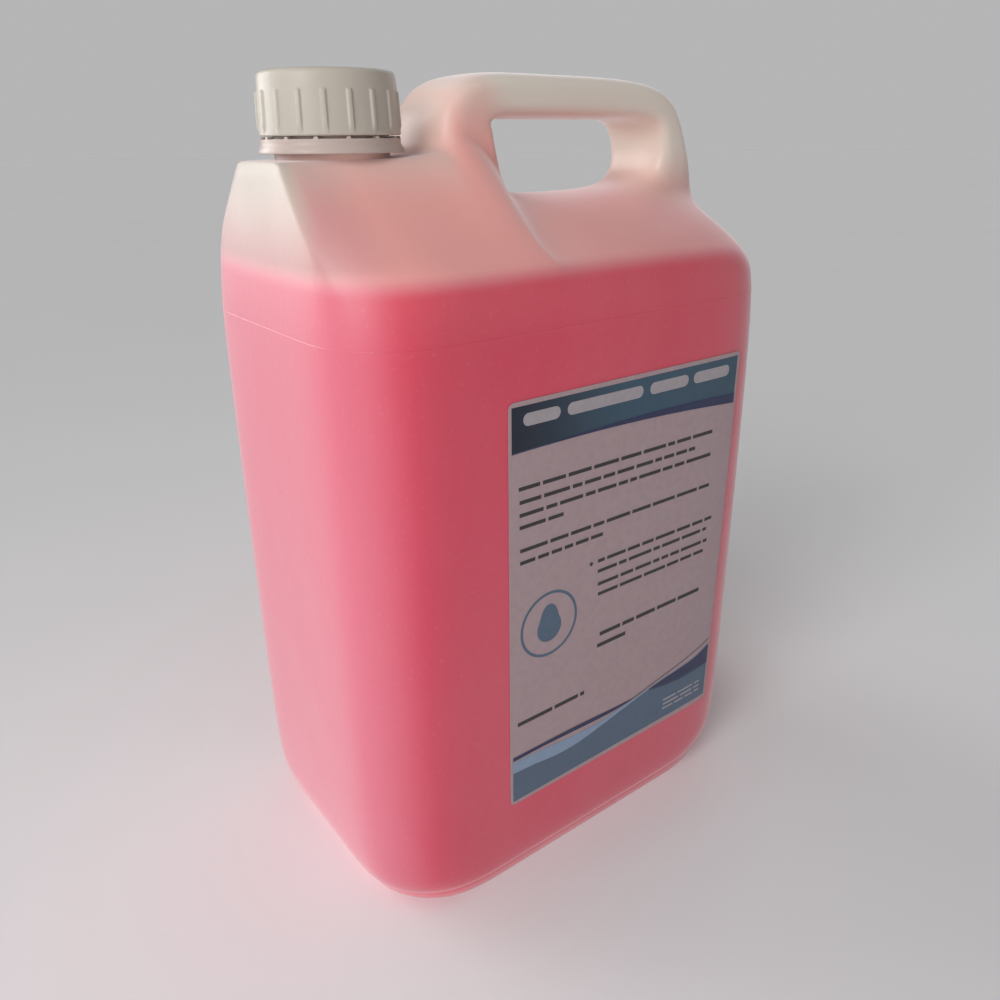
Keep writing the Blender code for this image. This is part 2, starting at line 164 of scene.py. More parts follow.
def top_columns():
    """Columns of cage points over one half of the top, from the neck's end on, each from the side to the middle."""
    a, b, s = HALF_L, HALF_W, SHOULDER_Z
    p, c = PLATFORM_Z, CREST_Z
    n = NECK_X
    leg_in = LEG_X - LEG_HALF
    leg_out = LEG_X + LEG_HALF
    return [
        [(-a + 4.2, b - 17, s - 1), (-a + 2.6, b - 26, s + 9), (-a + 2.8, 25.5, s + 18.5),
         (-a + 4, 15.5, p), (-a + 3.4, 0, p + 0.4)],
        [(-a + 13.5, b - 6, s - 0.5), (-a + 11, b - 14.5, s + 7), (-a + 9, 33, s + 17.5),
         (-a + 9.5, PLATFORM_HALF, p + 0.4), (-a + 9, 0, p + 0.4)],
        [(-a + CORNER_R, b, s), (-a + CORNER_R, b - 6.5, facet(b - 6.5)), (n, 38, facet(38)),
         (n, 20, p + 0.4), (n, 0, p + 0.4)],
        [(n + 17, b, s), (n + 17, b - 6.5, facet(b - 6.5)), (n + 18, 38, facet(38) + 0.6),
         (n + 19, 21, p + 0.6), (n + 20, 0, p + 0.4)],
        [(n + 27, b, s), (n + 27.5, b - 6.5, s + 5.4), (n + 29, 38, 250.5), (n + 29.5, 21, p + 3),
         (n + 26, 0, p + 0.5)],
        [(n + 33, b, s + 0.3), (n + 35, b - 6.5, s + 5.9), (n + 39, 38, 252), (n + 42, 20, p + 6)],
        [(n + 45, b, s - 0.2), (n + 38.5, b - 8, s + 7.4), (n + 43, 37, c + 0.1), (n + 52.5, 18.5, c + 4),
         (n + 58, 0, c + 3)],
        [(n + 52, b - 0.2, s - 1.4), (n + 45, b - 7, s + 1.8), (n + 48.5, 37, c - 7.4), (n + 58, 18, c - 1.2),
         (n + 65, 0, c + 0.5)],
        [(18, b - 0.5, s - 3), (20, b - 5, s + 2), (25, 37, c - 7.8), (30, 18, c - 1.8), (30, 0, c)],
        [(46, b - 0.5, s - 4), (48, b - 5, s + 1.5), (53, 37, c - 8.3), (leg_in - 5, 17, c - 0.3),
         (leg_in - 4, 0, c + 1)],
        [(a - CORNER_R, b - 0.7, s - 6), (a - 27, b - 5, s), (LEG_X - 6, 38, c - 10), (LEG_X, 17.5, c - 2.3)],
        [(a - 17, b - 3.4, s - 8), (a - 15, b - 8.5, s - 1.5), (a - 10.5, 37, c - 13.5), (leg_out + 1, 16, c - 7.3),
         (leg_out + 2, 0, c - 6.3)],
        [(a - 8.6, b - 10, s - 10), (a - 4, b - 18, s - 7), (a - 1.3, 31, s - 3.5), (a - 0.2, 15, s - 1.5),
         (a, 0, s - 1)],
    ]


def handle_rings():
    """Rings of the handle from the pillar to the rear leg, each as its outer and inner (x, z) and half width."""
    top = HEIGHT
    under = HEIGHT - GRIP_THICK
    leg_in = LEG_X - LEG_HALF
    leg_out = LEG_X + LEG_HALF
    n = NECK_X
    w = GRIP_HALF
    return [
        (n + 28.5, PLATFORM_Z + 11, n + 50.5, 262.5, w + 1.5),
        (n + 34.5, top - 5.6, n + 48.5, under - 1, w + 0.5),
        (n + 45, top + 0.3, n + 55.5, under, w),
        (GRIP_START_X + 6, top, GRIP_START_X + 8, under, w),
        ((GRIP_START_X + GRIP_END_X) / 2 + 2, top, (GRIP_START_X + GRIP_END_X) / 2 + 2, under, w),
        (GRIP_END_X + 7, top - 0.4, GRIP_END_X, under, w),
        (leg_out - 15.5, top - 4.2, leg_in - 2.5, under, w),
        (leg_out - 6.6, top - 17, leg_in + 0.8, under - 7.5, w - 0.8),
        (leg_out + 1, top - 33, leg_in + 0.8, under - 16.5, w - 1),
    ]


def outline(inset_x, inset_y, r):
    """Points of the body's outline, set in from the ends and the sides: the front run and half of each end."""
    a, b = HALF_L - inset_x, HALF_W - inset_y
    pull = r * 3 / (2 + math.cos(math.pi / 8))

    def corner(side, turn):
        return (side * (a - r + pull * math.cos(turn)), b - r + pull * math.sin(turn))

    step = math.pi / 8
    front = [corner(-1, 2 * step), corner(-1, 3 * step), (-a + r, b)]
    for column in top_columns()[3:10]:
        x = column[0][0]
        front.append((max(-a + r + 2, min(a - r - 2, x)), b))
    front += [(a - r, b), corner(1, 3 * step), corner(1, 2 * step)]
    left = [corner(-1, step), (-a, b - r), (-a, 16 * b / HALF_W), (-a, 0)]
    right = [corner(1, step), (a, b - r), (a, 15 * b / HALF_W), (a, 0)]
    return front, left, right


def ring_points(inset_x, inset_y, r, z_left, z_right):
    """One closed ring of cage points round the body, in the order of the grid's border."""
    front, left, right = outline(inset_x, inset_y, r)

    def lift(x):
        return z_left + (z_right - z_left) * (x + HALF_L) / LENGTH

    points = [(x, -y) for x, y in front]
    points += [(x, -y) for x, y in right[:-1]]
    points += [right[-1]]
    points += [(x, y) for x, y in reversed(right[:-1])]
    points += [(x, y) for x, y in reversed(front)]
    points += [(x, y) for x, y in left[:-1]]
    points += [left[-1]]
    points += [(x, -y) for x, y in reversed(left[:-1])]
    return [(x, y, lift(x)) for x, y in points]


def bottle_cage():
    """The bottle's outer control cage, without the neck."""
    bm = bmesh.new()
    crease = bm.edges.layers.float.new("crease_edge")
    columns = top_columns()
    rows = 9
    grid = []
    for column in columns:
        line = []
        for j in range(rows):
            k = min(j, rows - 1 - j)
            if k >= len(column):
                line.append(None)
                continue
            x, y, z = column[k]
            line.append(bm.verts.new((x, -y if j < 4 else y, z)))
        grid.append(line)
    for i in range(len(columns) - 1):
        for j in range(rows - 1):
            under_foot = any(first <= i <= first + 1 for first in (4, 9)) and j in (3, 4)
            if not under_foot:
                bm.faces.new((grid[i][j], grid[i + 1][j], grid[i + 1][j + 1], grid[i][j + 1]))

    def foot(first):
        g = grid
        a, m, c = first, first + 1, first + 2
        if first == 9:
            a, c = c, a
        return [g[a][4], g[a][3], g[m][3], g[c][3], g[c][4], g[c][5], g[m][5], g[a][5]]

    rings = [foot(4)]
    for ox, oz, ix, iz, w in handle_rings():
        mx, mz = (ox + ix) / 2, (oz + iz) / 2
        shape = [(ox, 0, oz), (ox, -w, oz), (mx, -w, mz), (ix, -w, iz), (ix, 0, iz), (ix, w, iz), (mx, w, mz),
                 (ox, w, oz)]
        rings.append([bm.verts.new(point) for point in shape])
    rings.append(foot(9))
    skin_rings(bm, rings, 8)

    border = [grid[i][0] for i in range(13)]
    border += [grid[12][j] for j in range(1, 8)]
    border += [grid[i][8] for i in range(12, -1, -1)]
    border += [grid[0][j] for j in range(7, 0, -1)]
    end, side, land = FOOT_IN_END, FOOT_IN_SIDE, FOOT_LAND
    r = CORNER_R
    levels = [
        (0.5, 0.0, r + 2, SHOULDER_Z - 8, SHOULDER_Z - 22),
        (0.0, 0.0, r, SHOULDER_Z - 26, SHOULDER_Z - 40),
        (-BULGE, 0.0, r, 95.0, 95.0),
        (-BULGE, 0.0, r, 27.0, 27.0),
        (0.0, 0.0, r + 1, 12.0, 12.0),
        (end - 2.6, side - 1.2, r + 5, FOOT_HIGH + 1.2, FOOT_HIGH + 1.2),
        (end - 0.4, side - 0.4, r + 6, FOOT_HIGH, FOOT_HIGH),
        (end, side, r + 6, 0.0, 0.0),
        (end + land, side + land, r, 0.0, 0.0),
        (end + land + 4.0, side + land + 4.0, r - 3, PUSH_UP, PUSH_UP),
    ]
    last = border
    for number, level in enumerate(levels):
        ring = [bm.verts.new(point) for point in ring_points(*level)]
        skin_rings(bm, [last, ring], len(ring))
        if number in (6, 7, 8):
            for k, vert in enumerate(ring):
                bm.edges.get((vert, ring[(k + 1) % len(ring)]))[crease] = 1.0
        last = ring
    bm.faces.new(last)

    # Creased edges: the platform's sides and end, two cross ridges of the shoulder, the pillar's inner corners
    for i in range(4):
        for j in (3, 5):
            bm.edges.get((grid[i][j], grid[i + 1][j]))[crease] = 0.6
    for j in (3, 4):
        bm.edges.get((grid[0][j], grid[0][j + 1]))[crease] = 0.6
    for column, values in ((0, (0.35, 0.55, 0.55)), (6, (0.45, 0.75, 0.75))):
        for j, sharpness in enumerate(values):
            for one, two in ((j, j + 1), (8 - j, 7 - j)):
                bm.edges.get((grid[column][one], grid[column][two]))[crease] = sharpness
    for k, sharpness in enumerate((0.7, 0.6, 0.3)):
        for corner in (3, 5):
            bm.edges.get((rings[k][corner], rings[k + 1][corner]))[crease] = sharpness
    bmesh.ops.recalc_face_normals(bm, faces=bm.faces[:])
    return bm


def evaluated_bmesh(obj):
    """The mesh of an object with its modifiers, in millimetres."""
    bm = bmesh.new()
    bm.from_object(obj, bpy.context.evaluated_depsgraph_get())
    for vert in bm.verts:
        vert.co /= MM
    bm.normal_update()
    return bm


def smooth_skin(levels):
    """The bottle's outer surface without neck or wall, subdivided."""
    obj = object_from("skin", bottle_cage())
    modifier = obj.modifiers.new("smooth", "SUBSURF")
    modifier.levels = levels
    modifier.render_levels = levels
    bpy.context.view_layer.update()
    bm = evaluated_bmesh(obj)
    bpy.data.objects.remove(obj, do_unlink=True)
    return bm


def shrunk(skin, distance):
    """A copy of a closed skin, set in by a distance."""
    bm = skin.copy()
    bm.normal_update()
    moves = [vert.normal * vert.calc_shell_factor() * distance for vert in bm.verts]
    for vert, move in zip(bm.verts, moves):
        vert.co -= move
    return bm


def turned(name, profile, steps, centre):
    """A solid turned about an upright axis from a profile of (radius, height) that starts and ends on the axis."""
    bm = bmesh.new()
    rings = []
    for radius, height in profile:
        if radius == 0:
            rings.append([bm.verts.new((centre, 0.0, height))])
            continue
        ring = []
        for k in range(steps):
            turn = 2 * math.pi * k / steps
            ring.append(bm.verts.new((centre + radius * math.cos(turn), radius * math.sin(turn), height)))
        rings.append(ring)
    skin_rings(bm, rings, steps)
    return object_from(name, bm)


def arc(cx, cz, r, start, end, steps):
    """Points of an arc in the profile plane, with angles in degrees from the outward direction."""
    points = []
    for k in range(steps + 1):
        turn = math.radians(start + (end - start) * k / steps)
        points.append((cx + r * math.cos(turn), cz + r * math.sin(turn)))
    return points


def apply_modifiers(obj):
    """Replaces an object's mesh by the one its modifiers make."""
    bpy.context.view_layer.update()
    graph = bpy.context.evaluated_depsgraph_get()
    mesh = bpy.data.meshes.new_from_object(obj.evaluated_get(graph), depsgraph=graph)
    obj.modifiers.clear()
    obj.data = mesh


# Materials


class Nodes:
    """A material's node tree, with short calls for the nodes used here."""

    def __init__(self, name):
        self.material = bpy.data.materials.new(name)
        self.material.use_nodes = True
        self.tree = self.material.node_tree
        self.shader = self.tree.nodes["Principled BSDF"]

    def new(self, kind, **values):
        node = self.tree.nodes.new(kind)
        for key, value in values.items():
            setattr(node, key, value)
        return node

    def link(self, a, b):
        self.tree.links.new(a, b)

    def set(self, **values):
        names = {"roughness": "Roughness", "ior": "IOR", "specular": "Specular IOR Level", "sss": "Subsurface Weight",
                 "sss_scale": "Subsurface Scale", "sss_radius": "Subsurface Radius", "sheen": "Sheen Weight",
                 "sheen_roughness": "Sheen Roughness", "sheen_tint": "Sheen Tint"}
        for key, value in values.items():
            self.shader.inputs[names[key]].default_value = value

    def place(self):
        return self.new("ShaderNodeTexCoord").outputs["Object"]

    def noise(self, vector, scale, detail=3.0, roughness=0.5):
        node = self.new("ShaderNodeTexNoise")
        node.inputs["Scale"].default_value = scale
        node.inputs["Detail"].default_value = detail
        node.inputs["Roughness"].default_value = roughness
        self.link(vector, node.inputs["Vector"])
        return node.outputs["Fac"]

    def stretch(self, vector, scale):
        node = self.new("ShaderNodeMapping")
        node.inputs["Scale"].default_value = scale
        self.link(vector, node.inputs["Vector"])
        return node.outputs["Vector"]

    def ramp(self, value, stops):
        node = self.new("ShaderNodeValToRGB")
        elements = node.color_ramp.elements
        while len(elements) < len(stops):
            elements.new(0.5)
        for element, (position, colour) in zip(elements, stops):
            element.position = position
            element.color = (*colour, 1.0)
        self.link(value, node.inputs["Fac"])
        return node.outputs["Color"]

    def range(self, value, low, high, to_low=0.0, to_high=1.0, smooth=False):
        node = self.new("ShaderNodeMapRange")
        node.interpolation_type = "SMOOTHSTEP" if smooth else "LINEAR"
        node.inputs["From Min"].default_value = low
        node.inputs["From Max"].default_value = high
        node.inputs["To Min"].default_value = to_low
        node.inputs["To Max"].default_value = to_high
        self.link(value, node.inputs["Value"])
        return node.outputs["Result"]

    def math(self, operation, a, b):
        node = self.new("ShaderNodeMath", operation=operation)
        for socket, value in zip(node.inputs, (a, b)):
            self.link(value, socket)
        return node.outputs["Value"]

    def axes(self, vector):
        node = self.new("ShaderNodeSeparateXYZ")
        self.link(vector, node.inputs["Vector"])
        return node.outputs

    def mix(self, factor, a, b):
        node = self.new("ShaderNodeMix", data_type="RGBA")
        colours = [s for s in node.inputs if s.type == "RGBA"]
        self.link(factor, node.inputs[0])
        for socket, value in zip(colours, (a, b)):
            if isinstance(value, tuple):
                socket.default_value = (*value, 1.0)
            else:
                self.link(value, socket)
        return [s for s in node.outputs if s.type == "RGBA"][0]

    def bump(self, height, strength, distance, normal=None):
        node = self.new("ShaderNodeBump")
        node.inputs["Strength"].default_value = strength
        node.inputs["Distance"].default_value = distance
        self.link(height, node.inputs["Height"])
        if normal:
            self.link(normal, node.inputs["Normal"])
        return node.outputs["Normal"]

    def finish(self, colour, roughness=None, normal=None):
        self.link(colour, self.shader.inputs["Base Color"])
        if roughness is not None:
            self.link(roughness, self.shader.inputs["Roughness"])
        if normal is not None:
            self.link(normal, self.shader.inputs["Normal"])
        return self.material


def natural_plastic():
    """Milky polyethylene: pearly pink soap shows through it up to the fill level, then it pales towards the handle.

    The colour is set by place, in metres: z gives the foot, the soap and the wall above it. Along x the wall is
    paler at the neck's end, a painted highlight, and deeper at the far end, painted shade; the end's facets above
    the fill are darkened as painted shade.
    """
    n = Nodes("natural_plastic")
    n.set(ior=1.5, specular=0.8, sheen=0.8, sheen_roughness=0.4, sheen_tint=(1.0, 0.90, 0.92, 1.0))
    place = n.place()
    x, _, z = n.axes(place)
    waves = n.noise(place, 18.0, 2.0)
    level = n.math("ADD", z, n.range(waves, 0.3, 0.7, -0.0005, 0.0005))
    ramp_top = 0.3
    share = n.range(level, 0.0, ramp_top)
    fill = FILL_Z * MM / ramp_top
    fill_z = FILL_Z * MM
    stops = [
        (0.0, (0.84, 0.34, 0.37)),
        (0.007, (0.80, 0.20, 0.25)),
        (0.0145, (0.69, 0.036, 0.090)),
        (0.5, (0.74, 0.034, 0.092)),
        (fill - 0.067, (0.74, 0.036, 0.086)),
        (fill - 0.010, (0.77, 0.070, 0.115)),
        (fill - 0.0015, (0.83, 0.22, 0.25)),
        (fill + 0.006, (0.94, 0.39, 0.36)),
        (0.87, (0.95, 0.42, 0.37)),
    ]
    milk = n.ramp(share, stops)
    end = n.range(x, -0.092, -0.070, 1.0, 0.0)
    # Painted highlight: a pale pink veil over the neck's end and the start of its corners stands in for the light on
    # that end.
    painted_end_highlight = n.range(x, -0.092, -0.072, 0.42, 0.0, True)
    milk = n.mix(painted_end_highlight, milk, (0.80, 0.31, 0.41))
    # Painted shade: the end's facets above the fill are darkened, toning down the strong light on that end.
    painted_end_shade = n.math("MULTIPLY", end, n.range(z, fill_z - 0.001, fill_z + 0.004))
    milk = n.mix(painted_end_shade, milk, (0.58, 0.29, 0.28))
    # Painted shade: the soap's pink darkens towards the far end, away from the light, and the wall above the fill
    # deepens the same way.
    milk = n.mix(n.range(x, -0.02, 0.09, 0.0, 0.35), milk, (0.52, 0.025, 0.06))
    deep = n.math("MULTIPLY", n.range(x, -0.005, 0.085, 0.0, 0.9), n.range(z, fill_z, fill_z + 0.003))
    milk = n.mix(deep, milk, (0.70, 0.17, 0.16))

    # The height about which the wall turns cream: lower at the neck's end and the far leg, higher at the pillar
    clear = n.math("ADD", n.range(x, -0.094, -0.085, 0.240, 0.264), n.range(x, 0.030, 0.066, 0.0, -0.013, True))
    clear = n.math("ADD", clear, n.range(x, -0.037, -0.029, 0.0, 0.015))
    clear = n.math("ADD", clear, n.range(x, -0.017, -0.004, 0.0, -0.015))
    above = n.math("SUBTRACT", level, clear)
    cream = n.range(above, -0.017, 0.016, 0.0, 1.0, True)
    colour = n.mix(cream, milk, (0.83, 0.75, 0.65))
    # Painted shade: the cream wall at the neck's end is darkened the same way.
    colour = n.mix(n.math("MULTIPLY", cream, end), colour, (0.38, 0.345, 0.27))

    # Fine unevenness
    cloud = n.noise(n.stretch(place, (1.0, 1.0, 0.35)), 26.0, 3.0)
    colour = n.mix(n.range(cloud, 0.3, 0.75, 0.0, 0.05), colour, (0.95, 0.60, 0.62))
    grain = n.noise(place, 700.0, 2.0, 0.6)
    colour = n.mix(n.range(grain, 0.60, 0.78, 0.0, 0.05), colour, (0.97, 0.82, 0.80))
    smudge = n.noise(place, 45.0, 4.0)
    roughness = n.range(smudge, 0.3, 0.7, 0.38, 0.48)
    peel = n.noise(place, 420.0, 3.0)
    normal = n.bump(peel, 0.2, 0.0003)
    waver = n.noise(n.stretch(place, (1.0, 1.0, 0.6)), 22.0, 1.0)
    normal = n.bump(waver, 0.12, 0.002, normal)
    return n.finish(colour, roughness, normal)


def cap_plastic(name, colour):
    """Off-white injection-moulded plastic with faint flow and handling marks."""
    n = Nodes(name)
    n.set(ior=1.48, sss=0.15, sss_scale=0.002, sss_radius=(1.0, 0.9, 0.8))
    place = n.place()
    tone = n.noise(place, 60.0, 4.0)
    base = n.mix(n.range(tone, 0.35, 0.75), colour, tuple(c * 0.95 for c in colour))
    roughness = n.range(n.noise(place, 150.0, 3.0), 0.3, 0.7, 0.3, 0.42)
    normal = n.bump(n.noise(place, 1200.0, 2.0), 0.06, 0.0001)
    return n.finish(base, roughness, normal)


def foam():
    """White foamed plastic of the sealing wad."""
    n = Nodes("wad_foam")
    n.set(ior=1.45, roughness=0.7)
    place = n.place()
    cells = n.new("ShaderNodeTexVoronoi")
    cells.inputs["Scale"].default_value = 2500.0
    n.link(place, cells.inputs["Vector"])
    base = n.mix(n.range(cells.outputs["Distance"], 0.0, 0.6), (0.78, 0.78, 0.76), (0.86, 0.86, 0.84))
    normal = n.bump(cells.outputs["Distance"], 0.3, 0.0002)
    return n.finish(base, None, normal)


def soap():
    """Pearlised liquid."""
    n = Nodes("pink_soap")
    n.set(ior=1.38, roughness=0.22)
    place = n.place()
    swirl = n.noise(n.stretch(place, (1.0, 1.0, 0.5)), 22.0, 4.0, 0.6)
    base = n.mix(n.range(swirl, 0.35, 0.7), (0.78, 0.10, 0.17), (0.88, 0.24, 0.30))
    return n.finish(base)


def printed(name, colour, second=None, roughness=0.45):
    """Ink or paper: a flat colour with a faint mottle, optionally running into a second colour along X."""
    n = Nodes(name)
    n.set(ior=1.45)
    place = n.place()
    base = n.mix(n.range(n.noise(place, 350.0, 3.0), 0.35, 0.7), colour, tuple(c * 0.93 for c in colour))
    if second:
        along = n.range(n.axes(place)[0], LABEL_X * MM, (LABEL_X + LABEL_LENGTH * 0.5) * MM, 1.0, 0.0, True)
        base = n.mix(along, base, second)
    scuff = n.range(n.noise(place, 90.0, 5.0), 0.35, 0.7, roughness - 0.06, roughness + 0.1)
    normal = n.bump(n.noise(place, 1500.0, 2.0), 0.08, 0.00005)
    return n.finish(base, scuff, normal)


PLASTIC = natural_plastic()
# Painted shade: the cap's and the ring's plastic are written darker than their own off-white, standing in for the
# shade on them.
WHITE = cap_plastic("cap_plastic", (0.56, 0.51, 0.44))
RING_WHITE = cap_plastic("ring_plastic", (0.57, 0.465, 0.42))
FOAM = foam()
SOAP = soap()
# Painted shade: the paper is written as a dim mauve grey instead of its white, standing in for the shade on the
# front.
PAPER = printed("label_paper", (0.45, 0.33, 0.35), None, 0.5)
SLATE = printed("ink_slate", (0.05, 0.10, 0.15), (0.018, 0.022, 0.04), 0.4)
BAND = printed("ink_band", (0.10, 0.15, 0.22), None, 0.4)
NAVY = printed("ink_navy", (0.035, 0.04, 0.105), None, 0.4)
SKY = printed("ink_sky", (0.27, 0.36, 0.50), None, 0.4)
DEEP = printed("ink_deep", (0.04, 0.06, 0.12), None, 0.4)
GREY = printed("ink_grey", (0.13, 0.12, 0.13), None, 0.5)
DARK = printed("ink_dark", (0.045, 0.04, 0.045), None, 0.5)
PALE = printed("ink_pale", (0.42, 0.38, 0.41), None, 0.45)


# Bottle


def make_bottle():
    """The moulding with its wall, neck and bore. Gives back the outer skin, to lay the label and seam on."""
    bm = shrunk(smooth_skin(3), SKIN_INSET)
    tree = BVHTree.FromBMesh(bm)
    inner = shrunk(smooth_skin(2), WALL)
    copies = {}
    for vert in inner.verts:
        copies[vert] = bm.verts.new(vert.co)
    for face in inner.faces:
        bm.faces.new([copies[vert] for vert in reversed(face.verts)])
    inner.free()
    bottle = object_from("jerrican", bm, [PLASTIC], 50, recalculate=False)
    root = PLATFORM_Z - 2.1
    profile = [(0, root), (NECK_R, root), (NECK_R, BEAD_Z - 0.6)]
    profile += [(BEAD_R, BEAD_Z), (BEAD_R, BEAD_Z + BEAD_H * 0.6), (NECK_R, BEAD_Z + BEAD_H)]
    profile += [(NECK_R, NECK_TOP_Z - 0.6)]
    profile += arc(NECK_R - 0.6, NECK_TOP_Z - 0.6, 0.6, 0, 90, 4)[1:]
    profile += [(0, NECK_TOP_Z)]
    neck = turned("neck_blank", profile, 128, NECK_X)
    deep = PLATFORM_Z - 8
    high = NECK_TOP_Z + 5
    bore = turned("neck_bore", [(0, deep), (BORE_R, deep), (BORE_R, high), (0, high)], 128, NECK_X)
    for operation, other in (("UNION", neck), ("DIFFERENCE", bore)):
        modifier = bottle.modifiers.new(other.name, "BOOLEAN")
        modifier.operation = operation
        modifier.solver = "EXACT"
        modifier.object = other
    apply_modifiers(bottle)
    bottle.data.set_sharp_from_angle(angle=math.radians(50))
    for other in (neck, bore):
        bpy.data.objects.remove(other, do_unlink=True)
    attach(bottle, "pack")
    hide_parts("bottle")
    return tree


def helix(name, radius, inward, z0, material):
    """A rounded thread ridge on the neck or in the cap, fading out at both ends."""
    bm = bmesh.new()
    steps = int(THREAD_TURNS * 96)
    half = THREAD_HALF
    sunk = -THREAD_ROOT / THREAD_DEPTH
    section = [(-half, sunk), (-half, 0.0), (-half * 0.55, 0.75), (-half * 0.25, 1.0),
               (half * 0.25, 1.0), (half * 0.55, 0.75), (half, 0.0), (half, sunk)]
    rings = []
    for k in range(steps + 1):
        t = k / steps
        fade = min(1.0, min(t, 1 - t) * THREAD_TURNS * 6)
        fade = fade * fade * (3 - 2 * fade)
        turn = THREAD_START + 2 * math.pi * THREAD_TURNS * t
        z = z0 + THREAD_PITCH * THREAD_TURNS * t
        ring = []
        for dz, rise in section:
            reach = THREAD_DEPTH * rise * (fade if rise > 0 else 1.0)
            r = radius - reach if inward else radius + reach
            ring.append(bm.verts.new((NECK_X + r * math.cos(turn), r * math.sin(turn), z + dz)))
        rings.append(ring)
    skin_rings(bm, rings, len(rings[0]))
    bm.faces.new(rings[0])
    bm.faces.new(rings[-1])
    return object_from(name, bm, [material], 60)


def surface_point(tree, x, z):
    """Where the front wall is at x and z, and its outward direction."""
    point, normal, _, _ = tree.ray_cast(Vector((x, -WIDTH, z)), Vector((0, 1, 0)))
    return point, normal


def body_loop(tree, z, count):
    """Points round the body's wall at a height, with their outward directions."""
    loop = []
    for k in range(count):
        turn = 2 * math.pi * k / count
        direction = Vector((math.cos(turn), math.sin(turn) * 0.7, 0)).normalized()
        start = Vector((0, 0, z)) + direction * 400
        point, normal, _, _ = tree.ray_cast(start, -direction)
        loop.append((point, normal))
    return loop


def make_seam(tree):
    """The fine raised mould line round the body."""
    bm = bmesh.new()
    rings = []
    for point, normal in body_loop(tree, SEAM_Z, 400):
        out = Vector((normal.x, normal.y, 0)).normalized()
        ring = []
        for reach, dz in ((-0.15, -0.4), (0.10, -0.15), (0.10, 0.15), (-0.15, 0.4)):
            ring.append(bm.verts.new(point + out * reach + Vector((0, 0, dz))))
        rings.append(ring)
    skin_rings(bm, rings, 4, close=True)
    seam = object_from("mould_line", bm, [PLASTIC], 60)
    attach(seam, "pack")


def polar(name, rings, steps, materials, closed, sharp):
    """A body about the neck's axis. Each ring is a height on it or a function of the turn giving (radius, height)."""
    bm = bmesh.new()
    made = []
    for ring in rings:
        if isinstance(ring, float):
            made.append([bm.verts.new((NECK_X, 0.0, ring))])
            continue
        row = []
        for k in range(steps):
            turn = 2 * math.pi * k / steps
            radius, height = ring(turn)
            row.append(bm.verts.new((NECK_X + radius * math.cos(turn), radius * math.sin(turn), height)))
        made.append(row)
    skin_rings(bm, made, steps, close=closed)
    return object_from(name, bm, materials, sharp)


def step_shape(value, low, high):
    """0 below low, 1 above high, smooth between."""
    t = max(0.0, min(1.0, (value - low) / (high - low)))
    return t * t * (3 - 2 * t)


def rib_shape(turn, count, half_width, soft, radius):
    """1 on evenly spaced ribs, falling to 0 at their sides."""
    pitch = 2 * math.pi / count
    offset = abs((turn + pitch / 2) % pitch - pitch / 2) * radius
    return 1 - step_shape(offset, half_width - soft, half_width + soft)


def plain(radius, height):
    """A round ring for polar."""
    return lambda turn: (radius, height)


def make_cap():
    """The ribbed cap, from the middle of its dished top round the skirt to the middle of its roof inside."""
    low, top = CAP_BOTTOM_Z, CAP_TOP_Z
    lean = (CAP_SKIRT_R - CAP_TOP_R) / (top - low)
    edge = 1.7

    def side(z):
        return CAP_SKIRT_R - lean * (z - low)

    def ribbed(z):
        along = step_shape(z, low + 1.7, low + 2.3) * (1 - step_shape(z, low + 11.7, low + 12.5))
        return lambda turn: (side(z) + RIB_RISE * along * rib_shape(turn, RIB_COUNT, 0.72, 0.32, CAP_SKIRT_R), z)

    rings = [top - 0.5, plain(1.2, top - 0.5), plain(1.5, top - 0.35), plain(14.2, top - 0.35), plain(14.8, top)]
    for r, z in arc(side(top) - edge, top - edge, edge, 90, 0, 6):
        rings.append(plain(r, z))
    rings.append(plain(side(top - 2.6), top - 2.6))
    z = low + 12.9
    while z > low + 1.5:
        rings.append(ribbed(z))
        z -= 0.14 if z > low + 11.4 or z < low + 2.5 else 1.1
    rings += [plain(side(low + 1.2), low + 1.2), plain(side(low + 0.35), low + 0.35), plain(side(low) - 0.3, low)]
    rings += [plain(CAP_BORE_R + 0.2, low), plain(CAP_BORE_R, low + 0.3), plain(CAP_BORE_R, CAP_ROOF_Z), CAP_ROOF_Z]
    cap = polar("ribbed_cap", rings, 720, [WHITE], False, 40)
    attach(cap, "cap")
    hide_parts("screw_cap")


def make_ring():
    """The tamper ring below the cap, with the stubs of its parted bridges."""
    top = RING_TOP_Z + RING_RAISE
    rise = CAP_BOTTOM_Z - 0.25 - top
    bead_gap = BEAD_R + 0.4
    lip = NECK_R + 0.6

    def crown(radius):
        return lambda turn: (radius, top + rise * rib_shape(turn, BRIDGE_COUNT, 0.6, 0.12, RING_TOP_R))

    rings = [crown(RING_TOP_R - 0.12), plain(RING_TOP_R, top - 0.15), plain(RING_TOP_R, RING_TOP_Z - 0.3)]
    for k in range(13):
        height = 3.0 - 2.5 * k / 12
        flare = 1 - step_shape(height, 0.5, 3.0)
        rings.append(plain(RING_TOP_R + (RING_FOOT_R - RING_TOP_R) * flare, RING_Z + height))
    rings += [plain(RING_FOOT_R, RING_Z + 0.2), plain(RING_FOOT_R - 0.2, RING_Z)]
    rings += [plain(lip + 0.3, RING_Z), plain(lip, BEAD_Z - 0.9), plain(bead_gap, BEAD_Z - 0.3), crown(bead_gap)]
    ring = polar("tamper_band", rings, 560, [RING_WHITE], True, 35)
    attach(ring, "pack")
    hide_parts("tamper_ring")


# Label


def label_point(tree, u, v, distance):
    """A point at a distance in front of the wall, for a place on the label from 0 to 1 both ways."""
    x = LABEL_X + LABEL_LENGTH * u
    point, normal = surface_point(tree, x, LABEL_Z + LABEL_HEIGHT * 0.5)
    return Vector((x, point.y - distance / max(0.5, -normal.y), LABEL_Z + LABEL_HEIGHT * v))


def corner_trim(away, r):
    """How far a rounded corner takes an edge in, at a distance away from the side."""
    short = max(0.0, r - away)
    return r - math.sqrt(r * r - short * short)


